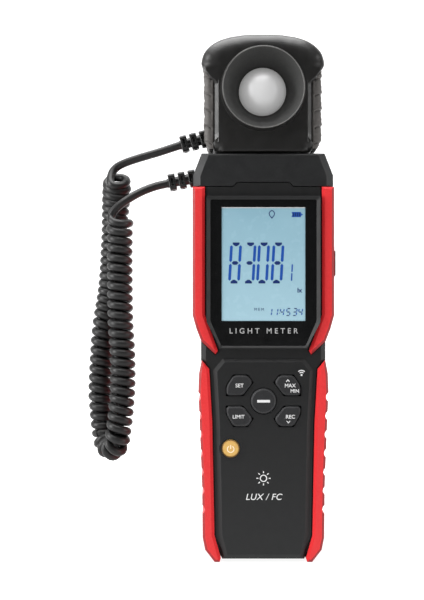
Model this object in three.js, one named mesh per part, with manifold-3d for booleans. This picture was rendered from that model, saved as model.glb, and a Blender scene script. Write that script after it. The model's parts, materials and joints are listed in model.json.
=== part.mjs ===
// Handheld light meter with a detachable sensor head on a curly cord.
// Millimetres. X is to the right, Y to the back (the display faces -Y) and Z up.
// The origin is the middle of the base, where the lower bumpers meet the table.

import * as THREE from 'three';
import { mergeVertices } from 'three/addons/utils/BufferGeometryUtils.js';
import Module from 'manifold-3d';

const wasm = await Module();
wasm.setup();

// ---------------------------------------------------------------- driving dimensions

const GAP = 0.3; // clearance between touching pieces
const WALL = 2.2; // moulded shell wall

const CASE = { front: -15, back: 17, split: 1, edge: 2 };
const CASE_TOP_Z = 153.2;
const CAP = { top: 167.2, halfWidth: 28.8, front: -15.2, back: 17.2, edge: 3 };
const BUMPER = { front: -16, back: 18, tongue: 1.4, edge: 1, edgeRise: 0.9 };
const KEY_PANEL = { front: -15.9, edge: 1.6 };
const BEZEL = { front: -16.4, edge: 1.2 };
const LENS = { front: -16.1, back: -14.5 };
const LCD = { halfWidth: 18.5, low: 97, high: 146, front: -14.2, back: -12.4 };
const BACKLIGHT = { front: -12.1, back: -9.1 };
const BOARD = { front: -7.6, back: -6, low: 12, high: 141 };
const KEY_MAT = { front: -10.4, back: -9.2, low: 41, high: 80, halfWidth: 17.4 };
const KEY = { front: -16.7, back: -12.5, flange: 1, lip: 0.8, slot: 0.35, edge: 0.5 };
const SIDE_KEY = { x: 30.2, y: -6, z: 122.2, halfDepth: 2.4, halfHeight: 5.2 };
const ENTER_KEY = { z: 65.8, radius: 5.15 };
const POWER_KEY = { x: -13.4, z: 46.5, radius: 3.6 };
const SCREW = { shaft: 1.1, hole: 1.4, head: 2.3, headHole: 2.7, boss: 3.4, headDepth: 1.6 };
const CASE_SCREWS = [[-14, 6.8], [14, 6.8], [-19.9, 149.8], [19.9, 149.8]];
const CELL = { radius: 5.25, length: 44.5, pitch: 10.9, y: 9.4, low: 17.8 };
const TRAY = { halfWidth: 16.7, low: 15, high: 65.2, floor: 3.6, wall: 1.4 };
const DOOR = { halfWidth: 17.6, low: 13.9, high: 73, thickness: 2, screwZ: 69.4 };
const CONTACT = { thickness: 0.5, half: 3.5 };

const HEAD = { bottom: 167.6, front: -13, back: 13, split: 0, edge: 3, wall: 2 };
const GRIP = { depth: 11.6, edge: 1 };
const DISH = { z: 193.6, rim: 16.8, rimFront: -18, throat: 10.6, throatBack: -6, wall: 1.6 };
const DOME = { radius: 9.9, base: -6, shell: 1.5, flange: 11.6, flangeFront: -5.1, back: -3.9 };
const HEAD_SCREWS = [[-14.8, 182.6], [14.8, 182.6], [-15.4, 207.6], [15.4, 207.6]];
const DOCK = { halfWidth: 11, halfDepth: 5, top: 172.8 };

const WIRE_RADIUS = 1.7;
const COIL_RADIUS = 5.3;
const METER_RELIEF = { at: [-28.8, -4, 157.8], towards: [-10.1, 0, -2], wall: 4.9 };
const HEAD_RELIEF = { at: [-24, 1, 175], towards: [-11.1, 0, -2.9], wall: 5.6 };
const RELIEF = {
  length: 11, core: 2.3, tip: 1.95, base: 1.25, rib: 3.5, ribLength: 2.9, ribPitch: 4.2,
};

// ---------------------------------------------------------------- outlines, as [x, z] points

// Right half from the bottom up; mirror() and whole() make the rest.
const CORE_HALF = [
  [16.8, 0.9], [21.2, 9.5], [22.2, 32], [23, 57], [23.6, 74], [25.5, 82.5], [25.5, 90.5],
  [25.8, 104], [25.8, 170],
];
const BELOW_SEAM_HALF = [[40, -10], [40, CASE_TOP_Z], [12.3, CASE_TOP_Z], [10.6, 154.9]];
const CAP_HALF = [[CAP.halfWidth, 140], [CAP.halfWidth, 158.2], [25.3, CAP.top]];
const UPPER_BUMPER = [
  [28.9, CASE_TOP_Z], [23.6, CASE_TOP_Z], [23.6, 101], [18.3, 86.4], [19.6, 84.8],
  [25.4, 90.2], [27.4, 95.4], [28.9, 100.8],
];
const SIDE_KEY_BULGE = [
  [27.5, 114.6], [28.8, 114.6], [29.4, 116.2], [29.4, 128.8], [28.8, 130.4], [27.5, 130.4],
];
const LOWER_BUMPER = [
  [25, 82.6], [21.9, 79], [20.6, 57], [20, 32], [19.7, 11], [17.1, 1.6], [17.6, 0],
  [19.9, 0], [23.8, 5], [24.8, 10], [25.1, 32], [26.6, 69.7], [26.3, 77],
];
const LENS_HALF = [[17.2, 88.2], [21.8, 98.4], [21.8, 148.1]];
const KEY_PANEL_HALF = [
  [16, 1.6], [18.4, 11], [18.8, 32], [19.4, 57], [20.5, 78.4], [16.5, 83.2],
];
const CORNER_KEY_HIGH = [
  [4.4, 73.4], [6.5, 76.3], [12.2, 76.3], [15.1, 71.8], [15, 68.1], [8.4, 68.1],
];
const CORNER_KEY_LOW = [
  [8.4, 63.6], [15.1, 63.6], [15, 60.4], [12.2, 55.5], [6.5, 55.5], [4.4, 58.6],
];
const HEAD_HALF = [
  [18.6, HEAD.bottom], [20.8, 169.4], [21.5, 172.4], [21.5, 198.8], [25.3, 203.4],
  [25.3, 206.3], [23.7, 210], [19.4, 213.8], [13.7, 215.9], [7, 217.1],
];
const GRIP_OUTLINE = [
  [20, 170.4], [22.8, 170.4], [24, 173], [24.3, 177], [24.3, 201.7], [21.6, 198.4], [20, 196.6],
];

// The route of each straight lead and of the coil's centre, as [x, y, z] points.
const METER_LEAD = [
  [-40, -4, 155.5], [-45.6, -4.8, 154.1], [-52.5, -6.8, 150.9], [-58.8, -8.4, 146.6],
  [-61.7, -8.4, 144],
];
const HEAD_LEAD = [
  [-35.4, 1, 172], [-43.3, 2, 169.5], [-52.9, 3.4, 166.9], [-59.6, 4.3, 164.6],
  [-63.2, 4.4, 162.2],
];
const COIL = [
  [-59.1, -8.4, 140.6], [-59.2, -8.4, 122], [-58.9, -8.4, 98.8], [-58.1, -8.4, 85],
  [-58, -8.4, 71.1], [-58.8, -8.4, 60], [-59.8, -8.2, 52.2], [-60.8, -6.3, 47.1],
  [-63.3, -2, 44.9], [-65.8, 2.3, 47.1], [-66.9, 4.2, 52.2], [-67.8, 4.4, 60.6],
  [-68.2, 4.4, 70.2], [-66.8, 4.4, 93.8], [-64, 4.4, 112.9], [-62.8, 4.4, 131.9],
  [-61.7, 4.4, 150.6], [-61.2, 4.4, 158.8],
];
const COIL_HALF = 8; // index of the point at the bottom of the loop, where the halves meet

// ---------------------------------------------------------------- materials

const paint = (color, roughness, metalness = 0) =>
  new THREE.MeshStandardMaterial({ color, roughness, metalness });
const BLACK_CASE = paint('#242526', 0.6);
const BLACK_CAP = paint('#1f2021', 0.5);
const RED_RUBBER = paint('#d8262b', 0.55);
const BLACK_RUBBER = paint('#1d1d1e', 0.7);
const GLOSS_BLACK = paint('#0b0c0d', 0.12);
const LCD_BLUE = paint('#a9d3e3', 0.25);
const LIGHT_GUIDE = paint('#f2f2ee', 0.4);
const KEY_GREY = paint('#37383b', 0.65);
const KEY_AMBER = paint('#e0aa4c', 0.6);
const BOARD_GREEN = paint('#1d5a36', 0.5);
const DOME_WHITE = paint('#ececee', 0.45);
const FILTER_GREEN = paint('#4c8f86', 0.1);
const SENSOR_BLACK = paint('#15161a', 0.3);
const STEEL = paint('#b9bcc0', 0.35, 1);
const CELL_WRAP = paint('#3b4f78', 0.35, 0.3);

// ---------------------------------------------------------------- solids

function volumeOf(positions, triangles) {
  const corner = (k) => new THREE.Vector3().fromArray(positions, 3 * triangles[k]);
  let volume = 0;
  for (let t = 0; t < triangles.length; t += 3) {
    volume += corner(t).dot(corner(t + 1).cross(corner(t + 2))) / 6;
  }
  return volume;
}

// A closed geometry with the vertices that its faces share merged.
function sealed(shape) {
  const plain = shape.clone();
  plain.deleteAttribute('normal');
  plain.deleteAttribute('uv');
  return mergeVertices(plain, 1e-4);
}

// A closed geometry as a solid with its faces pointing out.
function solid(shape) {
  if (!(shape instanceof THREE.BufferGeometry)) return shape;
  const merged = sealed(shape);
  const vertProperties = new Float32Array(merged.attributes.position.array);
  const triVerts = new Uint32Array(merged.index.array);
  if (volumeOf(vertProperties, triVerts) < 0) triVerts.reverse();
  return new wasm.Manifold(new wasm.Mesh({ numProp: 3, vertProperties, triVerts }));
}

const join = (first, ...others) => others.reduce((sum, part) => sum.add(solid(part)), solid(first));
const cut = (base, ...tools) => tools.reduce((rest, tool) => rest.subtract(solid(tool)), solid(base));
const common = (a, b) => solid(a).intersect(solid(b));

function geometryOf(shape) {
  const found = shape.getMesh();
  const geometry = new THREE.BufferGeometry();
  geometry.setAttribute('position', new THREE.BufferAttribute(found.vertProperties, 3));
  geometry.setIndex(new THREE.BufferAttribute(found.triVerts, 1));
  return geometry;
}

const mirror = (points) => points.map(([x, z]) => [-x, z]).reverse();
const whole = (half) => [...half, ...mirror(half)];

// An outline moved outwards by a distance, or inwards if it is negative.
function grow(points, distance) {
  const count = points.length;
  const turn = THREE.ShapeUtils.area(points.map(([x, z]) => new THREE.Vector2(x, z))) > 0 ? 1 : -1;
  const normal = (a, b) => {
    const length = Math.hypot(b[0] - a[0], b[1] - a[1]);
    return [(turn * (b[1] - a[1])) / length, (-turn * (b[0] - a[0])) / length];
  };
  return points.map((point, i) => {
    const before = normal(points[(i + count - 1) % count], point);
    const after = normal(point, points[(i + 1) % count]);
    const scale = distance / (1 + before[0] * after[0] + before[1] * after[1]);
    return [point[0] + scale * (before[0] + after[0]), point[1] + scale * (before[1] + after[1])];
  });
}

// An outline with its corners rounded off.
function rounded(points, radius, steps = 2) {
  const count = points.length;
  return points.flatMap((point, i) => {
    const at = new THREE.Vector2(...point);
    const towards = (other) => {
      const way = new THREE.Vector2(...other).sub(at);
      return way.setLength(Math.min(radius, way.length() * 0.45)).add(at);
    };
    const start = towards(points[(i + count - 1) % count]);
    const end = towards(points[(i + 1) % count]);
    const arc = new THREE.QuadraticBezierCurve(start, at, end);
    return arc.getPoints(steps).map((p) => [p.x, p.y]);
  });
}

// An [x, z] outline as a plate from y = front to y = back, with its edges bevelled.
function plate(points, front, back, edge = 0, rise = edge, segments = 1) {
  const outline = new THREE.Shape(points.map(([x, z]) => new THREE.Vector2(x, z)));
  const geometry = new THREE.ExtrudeGeometry(outline, {
    depth: back - front - 2 * rise,
    bevelEnabled: edge > 0,
    bevelSize: edge,
    bevelThickness: rise,
    bevelOffset: -edge,
    bevelSegments: segments,
  });
  return geometry.rotateX(Math.PI / 2).translate(0, back - rise, 0);
}

function rectangle(halfWidth, low, high) {
  return [[halfWidth, low], [halfWidth, high], [-halfWidth, high], [-halfWidth, low]];
}

function block(x0, x1, y0, y1, z0, z1) {
  const box = new THREE.BoxGeometry(x1 - x0, y1 - y0, z1 - z0);
  return box.translate((x0 + x1) / 2, (y0 + y1) / 2, (z0 + z1) / 2);
}

// A round bar along Y at (x, z).
function bar(radius, front, back, x, z, sides = 16) {
  const cylinder = new THREE.CylinderGeometry(radius, radius, back - front, sides);
  return cylinder.translate(x, (front + back) / 2, z);
}

// A solid turned about the Y axis through (x, z), from closed [radius, y] points.
function turned(profile, x, z, sides = 40) {
  const points = profile.map(([radius, y]) => new THREE.Vector2(radius, y));
  return new THREE.LatheGeometry([...points, points[0]], sides).translate(x, 0, z);
}

const route = (points) => new THREE.CatmullRomCurve3(points.map((p) => new THREE.Vector3(...p)));

// A part of another curve, between two shares of its parameter.
class Stretch extends THREE.Curve {
  constructor(curve, from, to) {
    super();
    this.at = (t) => curve.getPoint(from + (to - from) * t);
  }

  getPoint(t, target = new THREE.Vector3()) {
    return target.copy(this.at(t));
  }
}

function tube(path, radius, sides, steps) {
  const ring = Array.from({ length: sides }, (_, i) => {
    const angle = (2 * Math.PI * i) / sides;
    return new THREE.Vector2(radius * Math.cos(angle), radius * Math.sin(angle));
  });
  const options = { steps, bevelEnabled: false, extrudePath: path };
  return new THREE.ExtrudeGeometry(new THREE.Shape(ring), options);
}

const meter = new THREE.Group();
const sensorHead = new THREE.Group();

function piece(parent, name, shape, material) {
  const mesh = new THREE.Mesh(geometryOf(solid(shape)), material);
  mesh.name = name;
  parent.add(mesh);
}

const SIDES = [['left', mirror], ['right', (points) => points]];

// ---------------------------------------------------------------- meter case

const core = whole(CORE_HALF);
const bumperOutlines = SIDES.flatMap(([, place]) => [place(UPPER_BUMPER), place(LOWER_BUMPER)]);
const belowSeam = plate(whole(BELOW_SEAM_HALF), -40, 40);

function screwBoss(x, z, front, back) {
  return bar(SCREW.boss, front, back, x, z, 14);
}

// The black case, hollow inside, before it is split into its halves.
function caseShell() {
  const outer = plate(core, CASE.front, CASE.back, CASE.edge);
  const hollow = plate(grow(core, -WALL), CASE.front + WALL, CASE.back - WALL, 1);
  return cut(common(outer, belowSeam), hollow);
}

// Shallow pockets that the rubber bumpers lie in, between two depths.
const bumperPockets = (front, back) => bumperOutlines.map(
  (outline) => plate(grow(outline, GAP), front, back),
);

const shell = caseShell();
const keyOutlines = {
  key_max_min: CORNER_KEY_HIGH,
  key_record: CORNER_KEY_LOW,
  key_set: mirror(CORNER_KEY_HIGH),
  key_limit: mirror(CORNER_KEY_LOW),
};
const roundKeys = {
  key_enter: [0, ENTER_KEY.z, ENTER_KEY.radius],
  key_power: [POWER_KEY.x, POWER_KEY.z, POWER_KEY.radius],
};
const sideKeyBox = (grown, x0, x1) => block(
  x0, x1,
  SIDE_KEY.y - SIDE_KEY.halfDepth - grown, SIDE_KEY.y + SIDE_KEY.halfDepth + grown,
  SIDE_KEY.z - SIDE_KEY.halfHeight - grown, SIDE_KEY.z + SIDE_KEY.halfHeight + grown,
);

function frontCase() {
  const lens = whole(LENS_HALF);
  const front = CASE.front + WALL;
  const half = common(shell, block(-60, 60, -60, CASE.split - GAP / 2, -10, 180));
  const rim = plate(grow(lens, BEZEL.edge), BEZEL.front, front, BEZEL.edge, 1);
  const panel = plate(whole(KEY_PANEL_HALF), KEY_PANEL.front, front, KEY_PANEL.edge, 0.9);
  const bosses = CASE_SCREWS.map(([x, z]) => screwBoss(x, z, front - 0.5, CASE.split - GAP / 2));
  const holes = [
    plate(grow(lens, GAP), -40, LENS.back + GAP),
    plate(rectangle(LCD.halfWidth + GAP, LCD.low - GAP, LCD.high + GAP), -40, front + 1),
    ...CASE_SCREWS.map(([x, z]) => bar(SCREW.hole, front + 2, 10, x, z, 12)),
    ...Object.values(keyOutlines).map((outline) => plate(grow(outline, KEY.slot), -40, front + 1)),
    ...Object.values(roundKeys).map(([x, z, r]) => bar(r + KEY.slot, -40, front + 1, x, z, 28)),
    sideKeyBox(GAP, 20, 40),
    ...bumperPockets(-40, CASE.front + BUMPER.tongue),
  ];
  return cut(join(half, rim, panel, ...bosses), ...holes);
}

function rearCase() {
  const back = CASE.back - WALL;
  const front = CASE.split + GAP / 2;
  const half = common(shell, block(-60, 60, front, 60, -10, 180));
  const trayOuter = plate(
    rectangle(TRAY.halfWidth + TRAY.wall, TRAY.low - TRAY.wall, TRAY.high + TRAY.wall),
    TRAY.floor - TRAY.wall, CASE.back - 1,
  );
  const bosses = CASE_SCREWS.map(([x, z]) => screwBoss(x, z, front, CASE.back - 1));
  const doorBoss = screwBoss(0, DOOR.screwZ, TRAY.floor, CASE.back - 1);
  const door = rounded(rectangle(DOOR.halfWidth, DOOR.low, DOOR.high), 2.5);
  const holes = [
    plate(rectangle(TRAY.halfWidth, TRAY.low, TRAY.high), TRAY.floor, 40),
    plate(grow(door, GAP), CASE.back - DOOR.thickness - GAP, 40),
    bar(SCREW.hole, TRAY.floor + 2, 40, 0, DOOR.screwZ, 12),
    ...CASE_SCREWS.map(([x, z]) => bar(SCREW.hole, 0, 40, x, z, 12)),
    ...CASE_SCREWS.map(([x, z]) => bar(SCREW.headHole, back - 1.5, 40, x, z, 16)),
    ...bumperPockets(CASE.back - BUMPER.tongue, 40),
  ];
  return cut(join(half, trayOuter, ...bosses, doorBoss), ...holes);
}

piece(meter, 'front_case', frontCase(), BLACK_CASE);
piece(meter, 'rear_case', rearCase(), BLACK_CASE);

// A pan-head screw with a slot, its shaft pointing to the front; head top at y = back.
function screw(x, z, back, length) {
  const head = bar(SCREW.head, back - SCREW.headDepth, back, x, z, 16);
  const shaft = bar(SCREW.shaft, back - length, back - SCREW.headDepth + 0.2, x, z, 12);
  const slot = block(x - 3, x + 3, back - 0.7, back + 1, z - 0.35, z + 0.35);
  return cut(join(head, shaft), slot);
}

CASE_SCREWS.forEach(([x, z], i) => {
  piece(meter, `case_screw_${i + 1}`, screw(x, z, CASE.back - 1.8, 20), STEEL);
});

// ---------------------------------------------------------------- top cap and dock

// Where a strain relief passes through a wall: a frame with its Z axis along the cord.
function reliefFrame({ at, towards }) {
  const turn = new THREE.Quaternion().setFromUnitVectors(
    new THREE.Vector3(0, 1, 0),
    new THREE.Vector3(...towards).normalize(),
  );
  return new THREE.Matrix4().compose(new THREE.Vector3(...at), turn, new THREE.Vector3(1, 1, 1));
}

function reliefHole(relief) {
  const hole = new THREE.CylinderGeometry(RELIEF.core + GAP, RELIEF.core + GAP, 14, 16);
  return sealed(hole).applyMatrix4(reliefFrame(relief));
}

// A ribbed cord grommet: a flange inside the wall, a base flange outside and two ribs.
function strainRelief(relief) {
  const { core: inner, base, rib, ribLength, ribPitch, length, tip } = RELIEF;
  const profile = [[0, -relief.wall - 0.8], [rib - 0.4, -relief.wall - 0.8]];
  profile.push([rib - 0.4, -relief.wall], [inner, -relief.wall], [inner, base]);
  profile.push([rib, base], [rib, base + 1], [inner, base + 1]);
  for (const start of [base + 2, base + 2 + ribPitch]) {
    profile.push([inner, start], [rib, start], [rib, start + ribLength], [inner, start + ribLength]);
  }
  profile.push([tip, length], [0, length]);
  const points = profile.map(([radius, along]) => new THREE.Vector2(radius, along));
  return sealed(new THREE.LatheGeometry(points, 14)).applyMatrix4(reliefFrame(relief));
}

function topCap() {
  const outline = whole(CAP_HALF);
  const outer = plate(outline, CAP.front, CAP.back, CAP.edge);
  const hollow = plate(grow(outline, -WALL), CAP.front + WALL, CAP.back - WALL, 2);
  const seam = plate(grow(whole(BELOW_SEAM_HALF), GAP), -41, 41);
  const { halfWidth, halfDepth, top } = DOCK;
  const tongue = block(-halfWidth, halfWidth, -halfDepth, halfDepth, CAP.top - 1, top);
  return join(cut(outer, hollow, seam, reliefHole(METER_RELIEF)), tongue);
}

piece(meter, 'top_cap', topCap(), BLACK_CAP);
piece(meter, 'meter_strain_relief', strainRelief(METER_RELIEF), BLACK_RUBBER);

// ---------------------------------------------------------------- rubber bumpers

const BUMPER_CORE = plate(
  grow(core, GAP), CASE.front + BUMPER.tongue - GAP, CASE.back - BUMPER.tongue + GAP, 0.6,
);
const SCALLOPS = {
  count: 7, first: 21.5, pitch: 7.65, radius: 2.1, centreX: 25.3, slope: 0.034,
};

function bumper(outline) {
  return cut(plate(outline, BUMPER.front, BUMPER.back, BUMPER.edge, BUMPER.edgeRise), BUMPER_CORE);
}

// The round bites in the outer edge of a lower bumper that make it easy to hold.
function scallops(side) {
  return Array.from({ length: SCALLOPS.count }, (_, i) => {
    const z = SCALLOPS.first + i * SCALLOPS.pitch;
    const x = SCALLOPS.centreX + z * SCALLOPS.slope;
    return bar(SCALLOPS.radius, -40, 40, side * x, z, 12);
  });
}

SIDES.forEach(([side, place], i) => {
  const isRight = i === 1;
  const upper = bumper(place(UPPER_BUMPER));
  const lower = cut(bumper(place(LOWER_BUMPER)), ...scallops(isRight ? 1 : -1));
  const bulge = plate(SIDE_KEY_BULGE, SIDE_KEY.y - 5, SIDE_KEY.y + 5);
  const withKey = isRight ? cut(join(upper, bulge), sideKeyBox(GAP, 20, 40)) : upper;
  piece(meter, `upper_bumper_${side}`, withKey, RED_RUBBER);
  piece(meter, `lower_bumper_${side}`, lower, RED_RUBBER);
});

// ---------------------------------------------------------------- display, board and buzzer

function mainBoard() {
  const room = block(-60, 60, -60, 60, BOARD.low, BOARD.high);
  const sideSwitch = block(20.6, 40, -60, 60, 113.5, 131);
  return cut(common(plate(grow(core, -WALL - 1), BOARD.front, BOARD.back), room), sideSwitch);
}

piece(meter, 'display_lens', plate(rounded(whole(LENS_HALF), 0.8, 1), LENS.front, LENS.back, 0.2),
  GLOSS_BLACK);
piece(meter, 'lcd_panel', plate(rectangle(LCD.halfWidth, LCD.low, LCD.high), LCD.front, LCD.back),
  LCD_BLUE);
piece(meter, 'lcd_backlight',
  plate(rectangle(LCD.halfWidth, LCD.low, LCD.high), BACKLIGHT.front, BACKLIGHT.back), LIGHT_GUIDE);
piece(meter, 'main_board', mainBoard(), BOARD_GREEN);
piece(meter, 'key_mat',
  plate(rectangle(KEY_MAT.halfWidth, KEY_MAT.low, KEY_MAT.high), KEY_MAT.front, KEY_MAT.back),
  BLACK_RUBBER);
piece(meter, 'buzzer', bar(6, BOARD.back + GAP, BOARD.back + 4.5, 0, 100, 20), SENSOR_BLACK);

// ---------------------------------------------------------------- keys

function key(outline) {
  const cap = plate(outline, KEY.front, KEY.back + 0.1, KEY.edge);
  return join(cap, plate(grow(outline, KEY.lip), KEY.back, KEY.back + KEY.flange));
}

function circle(x, z, radius, sides = 28) {
  return Array.from({ length: sides }, (_, i) => {
    const angle = (2 * Math.PI * i) / sides;
    return [x + radius * Math.cos(angle), z + radius * Math.sin(angle)];
  });
}

for (const [name, outline] of Object.entries(keyOutlines)) {
  piece(meter, name, key(rounded(outline, 0.8, 1)), KEY_GREY);
}
for (const [name, [x, z, radius]] of Object.entries(roundKeys)) {
  piece(meter, name, key(circle(x, z, radius)), name === 'key_power' ? KEY_AMBER : KEY_GREY);
}

const sideKeyFlangeX = 25.8 - WALL - GAP;
piece(meter, 'side_key', join(
  sideKeyBox(0, sideKeyFlangeX - 0.5, SIDE_KEY.x),
  sideKeyBox(0.8, sideKeyFlangeX - 1, sideKeyFlangeX),
), KEY_GREY);

// ---------------------------------------------------------------- battery bay

function batteryCell(x, turnedOver) {
  const { radius, length, y, low } = CELL;
  const body = new THREE.CylinderGeometry(radius, radius, length - 1, 20).rotateX(Math.PI / 2);
  const nub = new THREE.CylinderGeometry(1.9, 1.9, 2, 12).rotateX(Math.PI / 2);
  const up = turnedOver ? -1 : 1;
  const middle = low + length / 2;
  return join(
    body.translate(x, y, middle - 0.5 * up),
    nub.translate(x, y, middle + (length / 2 - 1) * up),
  );
}

[-1, 0, 1].forEach((place, i) => {
  piece(meter, `battery_${i + 1}`, batteryCell(place * CELL.pitch, place === 0), CELL_WRAP);
});

// Spring plates across the ends of the cells: two single ones and two that bridge a pair.
// Each runs from one cell to another, counted from the middle cell.
const lowContactZ = TRAY.low + GAP;
const highContactZ = TRAY.high - GAP - CONTACT.thickness;
const contacts = {
  battery_contact_negative: [-1, -1, lowContactZ],
  battery_contact_bridge_low: [0, 1, lowContactZ],
  battery_contact_bridge_high: [-1, 0, highContactZ],
  battery_contact_positive: [1, 1, highContactZ],
};
for (const [name, [from, to, z]] of Object.entries(contacts)) {
  piece(meter, name, block(
    from * CELL.pitch - CONTACT.half, to * CELL.pitch + CONTACT.half,
    CELL.y - CONTACT.half, CELL.y + CONTACT.half, z, z + CONTACT.thickness,
  ), STEEL);
}

function batteryDoor() {
  const outline = rounded(rectangle(DOOR.halfWidth, DOOR.low, DOOR.high), 2.5);
  const front = CASE.back - DOOR.thickness;
  const fingerGrooves = [18.5, 20.5, 22.5].map((z) => block(-8, 8, CASE.back - 0.5, 40, z, z + 0.8));
  return cut(
    plate(outline, front, CASE.back, 0.4),
    bar(SCREW.hole, 0, 40, 0, DOOR.screwZ, 12),
    bar(SCREW.headHole, CASE.back - 1.2, 40, 0, DOOR.screwZ, 16),
    ...fingerGrooves,
  );
}

piece(meter, 'battery_door', batteryDoor(), BLACK_CASE);
piece(meter, 'battery_door_screw', screw(0, DOOR.screwZ, CASE.back + 0.7, 9), STEEL);

// ---------------------------------------------------------------- sensor head

const headOutline = whole(HEAD_HALF);

function headShell() {
  const outer = plate(headOutline, HEAD.front, HEAD.back, HEAD.edge, HEAD.edge, 2);
  const hollow = plate(grow(headOutline, -HEAD.wall), HEAD.front + HEAD.wall,
    HEAD.back - HEAD.wall, 2);
  const slot = block(
    -DOCK.halfWidth - GAP, DOCK.halfWidth + GAP, -DOCK.halfDepth - GAP, DOCK.halfDepth + GAP,
    150, DOCK.top + GAP,
  );
  return cut(outer, hollow, slot, reliefHole(HEAD_RELIEF));
}

// The collar and its funnel, which shade the dome from the sides.
function dish() {
  return turned([
    [DISH.rim + 1.2, HEAD.front + 0.4],
    [DISH.rim + 0.3, DISH.rimFront], [DISH.rim - 0.4, DISH.rimFront],
    [DISH.throat, DISH.throatBack - 0.6], [DISH.throat, DISH.throatBack + 0.6],
    [DISH.throat + DISH.wall, DISH.throatBack + 0.6], [DISH.rim - 0.6, HEAD.front + HEAD.wall],
    [DISH.rim + 1.2, HEAD.front + HEAD.wall],
  ], 0, DISH.z);
}

const headHalves = headShell();
const headBosses = (front, back) => HEAD_SCREWS.map(([x, z]) => screwBoss(x, z, front, back));
const headPilots = HEAD_SCREWS.map(([x, z]) => bar(SCREW.hole, -8, 40, x, z, 12));
const headFront = cut(
  common(headHalves, block(-60, 60, -60, HEAD.split - GAP / 2, 100, 300)),
  bar(DISH.rim - 0.5, -40, -8, 0, DISH.z, 40),
);
piece(sensorHead, 'head_front_shell', cut(
  join(headFront, dish(), ...headBosses(HEAD.front + 1.6, HEAD.split - GAP / 2)), ...headPilots,
), BLACK_CASE);

const headRear = common(headHalves, block(-60, 60, HEAD.split + GAP / 2, 60, 100, 300));
piece(sensorHead, 'head_rear_shell', cut(
  join(headRear, ...headBosses(HEAD.split + GAP / 2, HEAD.back - 1)),
  ...headPilots,
  ...HEAD_SCREWS.map(([x, z]) => bar(SCREW.headHole, HEAD.back - 3, 40, x, z, 16)),
), BLACK_CASE);
HEAD_SCREWS.forEach(([x, z], i) => {
  piece(sensorHead, `head_screw_${i + 1}`, screw(x, z, HEAD.back - 1.1, 12), STEEL);
});

const GRIP_GROOVES = { count: 4, first: 179, pitch: 6.65, radius: 1.1, x: 24.6 };
const gripCore = plate(grow(headOutline, GAP), HEAD.front - GAP, HEAD.back + GAP, HEAD.edge,
  HEAD.edge, 2);

SIDES.forEach(([side, place], i) => {
  const grooveX = (i === 1 ? 1 : -1) * GRIP_GROOVES.x;
  const grooves = Array.from({ length: GRIP_GROOVES.count }, (_, k) => bar(
    GRIP_GROOVES.radius, -40, 40, grooveX, GRIP_GROOVES.first + k * GRIP_GROOVES.pitch, 10,
  ));
  const grip = plate(place(GRIP_OUTLINE), -GRIP.depth, GRIP.depth, GRIP.edge);
  piece(sensorHead, `head_grip_${side}`, cut(grip, gripCore, ...grooves, reliefHole(HEAD_RELIEF)),
    BLACK_RUBBER);
});

piece(sensorHead, 'head_strain_relief', strainRelief(HEAD_RELIEF), BLACK_RUBBER);

// ---------------------------------------------------------------- light sensor

function dome() {
  const steps = 9;
  const arc = (radius, from, to) => Array.from({ length: steps + 1 }, (_, i) => {
    const angle = (Math.PI / 2) * (from + ((to - from) * i) / steps);
    return [radius * Math.cos(angle), DOME.base - radius * Math.sin(angle)];
  });
  const outer = arc(DOME.radius, 1, 0);
  const inner = arc(DOME.radius - DOME.shell, 0, 1);
  outer[0][0] = 0;
  inner[steps][0] = 0;
  const points = [
    ...outer, [DOME.radius, DOME.flangeFront], [DOME.flange, DOME.flangeFront],
    [DOME.flange, DOME.back], [DOME.radius - DOME.shell, DOME.back], ...inner,
  ];
  const profile = points.map(([radius, y]) => new THREE.Vector2(radius, y));
  return new THREE.LatheGeometry(profile, 32).translate(0, 0, DISH.z);
}

piece(sensorHead, 'diffuser_dome', dome(), DOME_WHITE);
piece(sensorHead, 'diffuser_ring', turned([
  [9, DOME.back + GAP], [14.4, DOME.back + GAP], [14.4, DOME.back + 1.8], [9, DOME.back + 1.8],
], 0, DISH.z, 28), SENSOR_BLACK);
piece(sensorHead, 'light_filter', bar(8, -3.6, -2.1, 0, DISH.z, 24), FILTER_GREEN);
piece(sensorHead, 'photodiode', block(-4.5, 4.5, -1.8, 0.2, DISH.z - 4.5, DISH.z + 4.5),
  SENSOR_BLACK);
piece(sensorHead, 'sensor_board', plate(rectangle(10.9, 178, 211), 0.6, 2.2), BOARD_GREEN);

// ---------------------------------------------------------------- curly cord

const coil = route(COIL);
const split = COIL_HALF / (COIL.length - 1);
const splitGap = 0.011; // half of the parameter between the end faces
piece(meter, 'cord_lead_meter', tube(route(METER_LEAD), WIRE_RADIUS, 8, 8), BLACK_RUBBER);
piece(meter, 'cord_coil_front',
  tube(new Stretch(coil, 0, split - splitGap), COIL_RADIUS, 12, 26), BLACK_RUBBER);
piece(sensorHead, 'cord_coil_rear',
  tube(new Stretch(coil, split + splitGap, 1), COIL_RADIUS, 12, 28), BLACK_RUBBER);
piece(sensorHead, 'cord_lead_head', tube(route(HEAD_LEAD), WIRE_RADIUS, 8, 8), BLACK_RUBBER);

const group = new THREE.Group();
group.add(meter, sensorHead);

export default group;
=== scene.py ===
"""Looks of a handheld light meter: its lift-off sensor head is joined to it by a curly cord."""

import json
import math

import bmesh
import bpy
from mathutils import Matrix, Vector

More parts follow.
